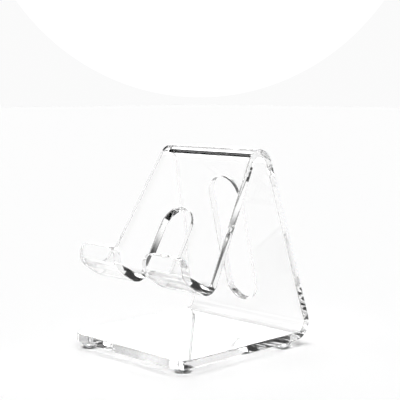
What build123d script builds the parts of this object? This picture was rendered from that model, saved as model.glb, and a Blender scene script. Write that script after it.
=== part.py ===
"""Clear acrylic phone stand: one heat-bent strip on four stick-on bumper feet, in millimetres.

The strip is bent from flat sheet in this order: base plate, rear bend, upright leaning
forward, apex bend, backrest, heel bend, shelf, toe bend, lips. +X is the user's right,
+Y the back, +Z up. The feet touch the table at Z = 0, and the origin is under the middle
of the base plate.
"""

import os
from math import cos, radians, sin, tan

from build123d import *

os.makedirs("parts", exist_ok=True)

# Acrylic strip
base_width = 78.0  # X, over the base plate
overall_depth = 85.5  # Y, base front edge to the outside of the rear bend
sheet = 4.0  # thickness of the acrylic sheet

# Inside radii of the bends
rear_bend_radius = 5.0
apex_radius = 4.3
heel_radius = 3.0
toe_radius = 3.0

# Direction of each flat, in degrees from +Y, and its length between two bends
upright_angle = 104.0
backrest_angle = 240.0
shelf_angle = 148.0
lip_angle = 91.0
upright_flat = 77.5
backrest_flat = 61.2
shelf_flat = 9.1
lip_flat = 6.1

# Outline of the cut sheet
side_lean = 6.0  # both long sides lean in above the rear bend, in degrees
lean_start = 4.0  # height over the base plate where the lean starts
lean_blend = 60.0  # radius that runs the straight side into the leaning one
base_corner_radius = 8.0
lip_corner_radius = 5.0
polish = 0.45  # rounding that flame polishing leaves on every cut edge

# Cable slot between the lips, through the shelf and up into the backrest
slot_width = 19.2
slot_rise = 24.0  # straight part above the start of the heel bend
slot_foot = 9.0  # the cut's depth below that line, clear of the bend

# Cable hole in the upright, with round ends
hole_width = 19.0
hole_bottom = 4.0  # lower end above the rear bend, along the upright
hole_top = 9.0  # upper end below the apex bend

# Stick-on bumper feet
foot_diameter = 8.0
foot_height = 2.8
foot_rim = 0.6  # straight part of the moulded dome next to the tape
foot_dome_radius = 4.5
foot_contact = 3.6  # diameter of the flat that touches the table
tape_diameter = 7.4
tape = 0.2  # adhesive layer between the foot and the base plate
tape_film = 0.015  # how far the disc's faces stay clear of the foot and the plate

# Foot centres, X and distance behind the base plate's front edge. They are stuck on by
# hand, so each sits a little differently.
foot_places = {
    "front_left": (-30.7, 5.3),
    "front_right": (31.2, 7.8),
    "rear_left": (-31.5, 73.0),
    "rear_right": (34.9, 70.7),
}

underside = foot_height + tape
base_top = underside + sheet
front_y = -overall_depth / 2
outer_rear = rear_bend_radius + sheet
rear_bend_y = overall_depth / 2 - outer_rear


def is_cut_edge(edge):
    """True where two faces of the strip meet at an angle, false along a smooth seam."""
    beside = [f for f in acrylic_strip.faces() if any(e.is_same(edge) for e in f.edges())]
    middle = edge @ 0.5
    normals = [face.normal_at(middle) for face in beside]
    return len(normals) == 2 and abs(normals[0].dot(normals[1])) < 0.9


with BuildPart() as acrylic_strip:
    # Side profile, drawn bend by bend along the outside of the rear and apex bends
    with BuildSketch(Plane.YZ):
        with BuildLine():
            base_run = Line((front_y, underside), (rear_bend_y, underside))
            rear_bend = JernArc(base_run @ 1, base_run % 1, outer_rear, upright_angle)
            upright = PolarLine(rear_bend @ 1, upright_flat, direction=rear_bend % 1)
            apex_turn = backrest_angle - upright_angle
            apex = JernArc(upright @ 1, upright % 1, apex_radius + sheet, apex_turn)
            backrest = PolarLine(apex @ 1, backrest_flat, direction=apex % 1)
            heel_turn = shelf_angle - backrest_angle
            heel = JernArc(backrest @ 1, backrest % 1, heel_radius, heel_turn)
            shelf = PolarLine(heel @ 1, shelf_flat, direction=heel % 1)
            toe = JernArc(shelf @ 1, shelf % 1, toe_radius, lip_angle - shelf_angle)
            lip = PolarLine(toe @ 1, lip_flat, direction=toe % 1)
            offset(amount=sheet, side=Side.LEFT)
        make_face()
    extrude(amount=base_width / 2, both=True)

    # Long sides: upright over the base plate, leaning in above it
    lean_z = base_top + lean_start
    top_z = 120.0
    top_half = base_width / 2 - (top_z - lean_z) * tan(radians(side_lean))
    with BuildSketch(Plane.XZ):
        with BuildLine():
            Polyline(
                (-base_width / 2, 0),
                (base_width / 2, 0),
                (base_width / 2, lean_z),
                (top_half, top_z),
                (-top_half, top_z),
                (-base_width / 2, lean_z),
                close=True,
            )
        make_face()
        kinks = vertices().filter_by_position(Axis.Y, lean_z - 0.1, lean_z + 0.1)
        fillet(kinks, radius=lean_blend)
    extrude(amount=overall_depth, both=True, mode=Mode.INTERSECT)

    # Cable slot, drawn on the front face of the backrest from the start of the heel bend
    slope = radians(backrest_angle - 180)
    heel_start = backrest @ 1
    backrest_face = Plane(
        origin=(0, heel_start.X, heel_start.Y),
        x_dir=(1, 0, 0),
        z_dir=(0, -sin(slope), cos(slope)),
    )
    with BuildSketch(backrest_face):
        with Locations((0, (slot_rise - slot_foot) / 2)):
            Rectangle(slot_width, slot_rise + slot_foot)
        with Locations((0, slot_rise)):
            Circle(slot_width / 2)
    extrude(amount=30, both=True, mode=Mode.SUBTRACT)

    # Cable hole, drawn on the rear face of the upright from the end of the rear bend
    lean = radians(upright_angle)
    upright_start = upright @ 0
    upright_face = Plane(
        origin=(0, upright_start.X, upright_start.Y),
        x_dir=(-1, 0, 0),
        z_dir=(0, sin(lean), -cos(lean)),
    )
    hole_length = upright_flat - hole_bottom - hole_top
    with BuildSketch(upright_face):
        with Locations((0, hole_bottom + hole_length / 2)):
            SlotOverall(hole_length, hole_width, rotation=90)
    extrude(amount=2 * sheet, both=True, mode=Mode.SUBTRACT)

    # Rounded front corners of the base plate, and all four corners of the lips
    base_corners = acrylic_strip.edges().filter_by(Axis.Z)
    fillet(base_corners.filter_by_position(Axis.Y, front_y - 1, front_y + 1), base_corner_radius)
    lip_end = lip @ 1
    lip_corners = acrylic_strip.edges().filter_by(
        lambda edge: abs(edge.length - sheet) < 0.2
        and abs(edge.center().Y - lip_end.X) < sheet
        and abs(edge.center().Z - lip_end.Y) < 1
    )
    fillet(lip_corners, lip_corner_radius)

    # Flame-polished edges
    fillet(acrylic_strip.edges().filter_by(is_cut_edge), polish)

acrylic_strip.part.label = "acrylic_strip"
export_step(acrylic_strip.part, "parts/acrylic_strip.step")

# One bumper foot: a moulded dome, flat on top where it is stuck and just flat below
with BuildPart() as foot:
    with BuildSketch(Plane.XZ):
        with BuildLine():
            top = Line((0, foot_height), (foot_diameter / 2, foot_height))
            rim = Line(top @ 1, (foot_diameter / 2, foot_height - foot_rim))
            contact = Line((foot_contact / 2, 0), (0, 0))
            RadiusArc(rim @ 1, contact @ 0, foot_dome_radius)
            Line(contact @ 1, top @ 0)
        make_face()
    revolve(axis=Axis.Z)
    fillet(foot.edges().sort_by(Axis.Z)[-1], 0.15)

# Its adhesive disc
with BuildPart() as tape_disc:
    with BuildSketch(Plane.XY.offset(foot_height + tape_film)):
        Circle(tape_diameter / 2)
    extrude(amount=tape - 2 * tape_film)

for place, (x, behind_front) in foot_places.items():
    for piece, solid in (("foot", foot.part), ("tape", tape_disc.part)):
        placed = solid.moved(Location((x, front_y + behind_front, 0)))
        placed.label = f"{piece}_{place}"
        export_step(placed, f"parts/{piece}_{place}.step")
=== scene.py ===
"""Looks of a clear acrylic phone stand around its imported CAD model, in metres.

+X is the user's right, +Y the back and +Z up, with the feet on the floor at Z = 0. The strip
is clear polished sheet, so its look is refraction: the studio is white low down and behind
the stand, dark above, and lit by one soft box overhead.
"""

import math

import bpy
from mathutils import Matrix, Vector

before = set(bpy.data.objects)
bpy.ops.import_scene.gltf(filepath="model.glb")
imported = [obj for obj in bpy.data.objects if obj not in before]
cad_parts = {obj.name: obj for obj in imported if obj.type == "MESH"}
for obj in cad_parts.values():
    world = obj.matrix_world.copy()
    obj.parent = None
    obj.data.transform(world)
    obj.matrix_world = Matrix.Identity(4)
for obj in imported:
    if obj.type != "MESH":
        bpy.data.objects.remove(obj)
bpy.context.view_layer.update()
scene = bpy.context.scene

CAMERA_PLACE = Vector((0.3397, -0.3295, 0.1226))
CAMERA_PITCH = 83.74  # degrees from straight down
CAMERA_TURN = 45.31  # degrees about Z
LENS = 89.6  # mm
SENSOR_WIDTH = 36.0  # mm

FLOOR_SIZE = 12.0
FLOOR_TINT = 0.9
FLOOR_ROUGHNESS = 0.7

# The studio, as radiance and degrees: a white horizon all round, and two round white cards
HORIZON_TOP = 7.0  # elevation where the horizon ends
HORIZON_LIGHT = 1.2
CARD_EDGE = 1.5  # over which a card's edge fades
BACKDROP_RISE = 12.0  # behind the stand, where the base plate mirrors it to the camera
BACKDROP_HALF_WIDTH = 13.0
BACKDROP_LIGHT = 3.0
SIDE_CARD_TURN = 121.6  # on the left, where the backrest mirrors it to the camera
SIDE_CARD_RISE = 33.0
SIDE_CARD_HALF_WIDTH = 7.5
SIDE_CARD_LIGHT = 1.4

SOFT_BOX_SPREAD = 50.0  # degrees across, as the stand sees it
SOFT_BOX_POWER = 3.28  # W/m2

GLASS_BOUNCES = 64  # light runs a long way inside the sheet before it gets out

HAZE_SCALE = 45.0  # noise in a plastic's roughness, per metre
HAZE_DETAIL = 4.0
HAZE_START, HAZE_END = 0.45, 0.75  # noise values between which the haze sets in
RIPPLE_SCALE = 160.0  # noise in its relief
RIPPLE_DETAIL = 2.0
ABSORBING_GREY = 0.5


def make_camera():
    data = bpy.data.cameras.new("camera")
    data.sensor_width = SENSOR_WIDTH
    data.lens = LENS
    camera = bpy.data.objects.new("camera", data)
    camera.location = CAMERA_PLACE
    camera.rotation_euler = (math.radians(CAMERA_PITCH), 0.0, math.radians(CAMERA_TURN))
    scene.collection.objects.link(camera)
    scene.camera = camera


def direction(turn, rise):
    """Unit vector at a turn about Z from +Y, positive towards -X, and a rise over the floor."""
    turn, rise = math.radians(turn), math.radians(rise)
    flat = math.cos(rise)
    return Vector((-math.sin(turn) * flat, math.cos(turn) * flat, math.sin(rise)))


class Tree:
    """Short calls that add nodes to a node tree."""

    def __init__(self, tree):
        self.tree = tree

    def node(self, kind, **settings):
        made = self.tree.nodes.new(kind)
        for name, value in settings.items():
            setattr(made, name, value)
        return made

    def link(self, value, socket):
        """Link an output to the socket, or set a plain value on it."""
        if isinstance(value, bpy.types.NodeSocket):
            self.tree.links.new(value, socket)
        else:
            socket.default_value = value

    def calculate(self, kind, operation, output, *values):
        made = self.node(kind, operation=operation)
        for value, socket in zip(values, made.inputs):
            self.link(value, socket)
        return made.outputs[output]

    def larger(self, a, b):
        return self.calculate("ShaderNodeMath", "MAXIMUM", "Value", a, b)

    def dot(self, a, b):
        return self.calculate("ShaderNodeVectorMath", "DOT_PRODUCT", "Value", a, b)

    def ramp(self, value, start, end, low, high):
        made = self.node("ShaderNodeMapRange", interpolation_type="SMOOTHSTEP")
        numbers = {"From Min": start, "From Max": end, "To Min": low, "To Max": high}
        for name, number in numbers.items():
            made.inputs[name].default_value = number
        self.link(value, made.inputs["Value"])
        return made.outputs["Result"]

    def noise(self, place, scale, detail):
        made = self.node("ShaderNodeTexNoise")
        made.inputs["Scale"].default_value = scale
        made.inputs["Detail"].default_value = detail
        self.link(place, made.inputs["Vector"])
        return made.outputs["Fac"]


def make_world():
    world = bpy.data.worlds.new("studio")
    scene.world = world
    world.use_nodes = True
    world.node_tree.nodes.clear()
    tree = Tree(world.node_tree)
    sight = tree.node("ShaderNodeTexCoord").outputs["Generated"]

    parts = tree.node("ShaderNodeSeparateXYZ")
    tree.link(sight, parts.inputs["Vector"])
    top = math.sin(math.radians(HORIZON_TOP))
    fade = math.sin(math.radians(HORIZON_TOP + CARD_EDGE))
    horizon = tree.ramp(parts.outputs["Z"], top, fade, HORIZON_LIGHT, 0.0)

    def round_card(turn, rise, half_width, light):
        edge = math.cos(math.radians(half_width))
        inside = math.cos(math.radians(half_width - CARD_EDGE))
        return tree.ramp(tree.dot(sight, direction(turn, rise)), edge, inside, 0.0, light)

    backdrop = round_card(CAMERA_TURN, BACKDROP_RISE, BACKDROP_HALF_WIDTH, BACKDROP_LIGHT)
    side_card = round_card(
        SIDE_CARD_TURN, SIDE_CARD_RISE, SIDE_CARD_HALF_WIDTH, SIDE_CARD_LIGHT
    )

    background = tree.node("ShaderNodeBackground")
    radiance = tree.larger(horizon, tree.larger(backdrop, side_card))
    tree.link(radiance, background.inputs["Strength"])
    output = tree.node("ShaderNodeOutputWorld")
    tree.link(background.outputs["Background"], output.inputs["Surface"])


def make_soft_box():
    """It hangs straight overhead, so its shadow stays close round the feet."""
    data = bpy.data.lights.new("soft_box", "SUN")
    data.angle = math.radians(SOFT_BOX_SPREAD)
    data.energy = SOFT_BOX_POWER
    scene.collection.objects.link(bpy.data.objects.new("soft_box", data))


def make_floor():
    bpy.ops.mesh.primitive_plane_add(size=FLOOR_SIZE)
    floor = bpy.context.object
    floor.name = "floor"
    material = bpy.data.materials.new("floor")
    material.use_nodes = True
    shader = material.node_tree.nodes["Principled BSDF"]
    shader.inputs["Base Color"].default_value = (FLOOR_TINT, FLOOR_TINT, FLOOR_TINT, 1.0)
    shader.inputs["Roughness"].default_value = FLOOR_ROUGHNESS
    shader.inputs["Specular IOR Level"].default_value = 0.0
    floor.data.materials.append(material)


def plastic(name, tint, index, rough, haze, bump, absorption=0.0, clear=1.0):
    """Plastic: rough and haze bound its roughness, bump is how deep its fine marks are.

    absorption is how much light it takes off, per metre, which shows where light runs along
    the sheet and comes out at an edge. clear is the share of light that goes into it.
    """
    material = bpy.data.materials.new(name)
    material.use_nodes = True
    nodes = material.node_tree.nodes
    tree = Tree(material.node_tree)
    shader = nodes["Principled BSDF"]
    shader.inputs["Base Color"].default_value = (*tint, 1.0)
    shader.inputs["Transmission Weight"].default_value = clear
    shader.inputs["IOR"].default_value = index
    place = tree.node("ShaderNodeTexCoord").outputs["Object"]

    clouds = tree.noise(place, HAZE_SCALE, HAZE_DETAIL)
    roughness = tree.ramp(clouds, HAZE_START, HAZE_END, rough, haze)
    tree.link(roughness, shader.inputs["Roughness"])

    relief = tree.node("ShaderNodeBump")
    relief.inputs["Strength"].default_value = 1.0
    relief.inputs["Distance"].default_value = bump
    tree.link(tree.noise(place, RIPPLE_SCALE, RIPPLE_DETAIL), relief.inputs["Height"])
    tree.link(relief.outputs["Normal"], shader.inputs["Normal"])

    if absorption:
        volume = tree.node("ShaderNodeVolumeAbsorption")
        grey = (ABSORBING_GREY, ABSORBING_GREY, ABSORBING_GREY, 1.0)
        volume.inputs["Color"].default_value = grey
        volume.inputs["Density"].default_value = absorption / (1 - ABSORBING_GREY)
        tree.link(volume.outputs["Volume"], nodes["Material Output"].inputs["Volume"])
    return material


def dress(prefix, material):
    """Give a material to every CAD node whose name starts with prefix."""
    for name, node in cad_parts.items():
        if name.startswith(prefix):
            node.data.materials.clear()
            node.data.materials.append(material)


scene.view_settings.view_transform = "Standard"
# Cycles' filter would blur the sheet for light on its way to the floor under it, and darken it
scene.cycles.blur_glossy = 0.0
scene.cycles.max_bounces = GLASS_BOUNCES
scene.cycles.transmission_bounces = GLASS_BOUNCES
scene.cycles.glossy_bounces = GLASS_BOUNCES

make_camera()
make_world()
make_soft_box()
make_floor()
dress(
    "acrylic_strip",
    plastic("clear_acrylic", (0.995, 0.995, 0.995), 1.49, 0.0, 0.02, 2e-6, absorption=1.0),
)
dress("foot_", plastic("bumper_polyurethane", (0.86, 0.87, 0.87), 1.5, 0.05, 0.15, 6e-6))
dress("tape_", plastic("adhesive", (0.93, 0.93, 0.92), 1.47, 0.4, 0.6, 1e-5, clear=0.0))
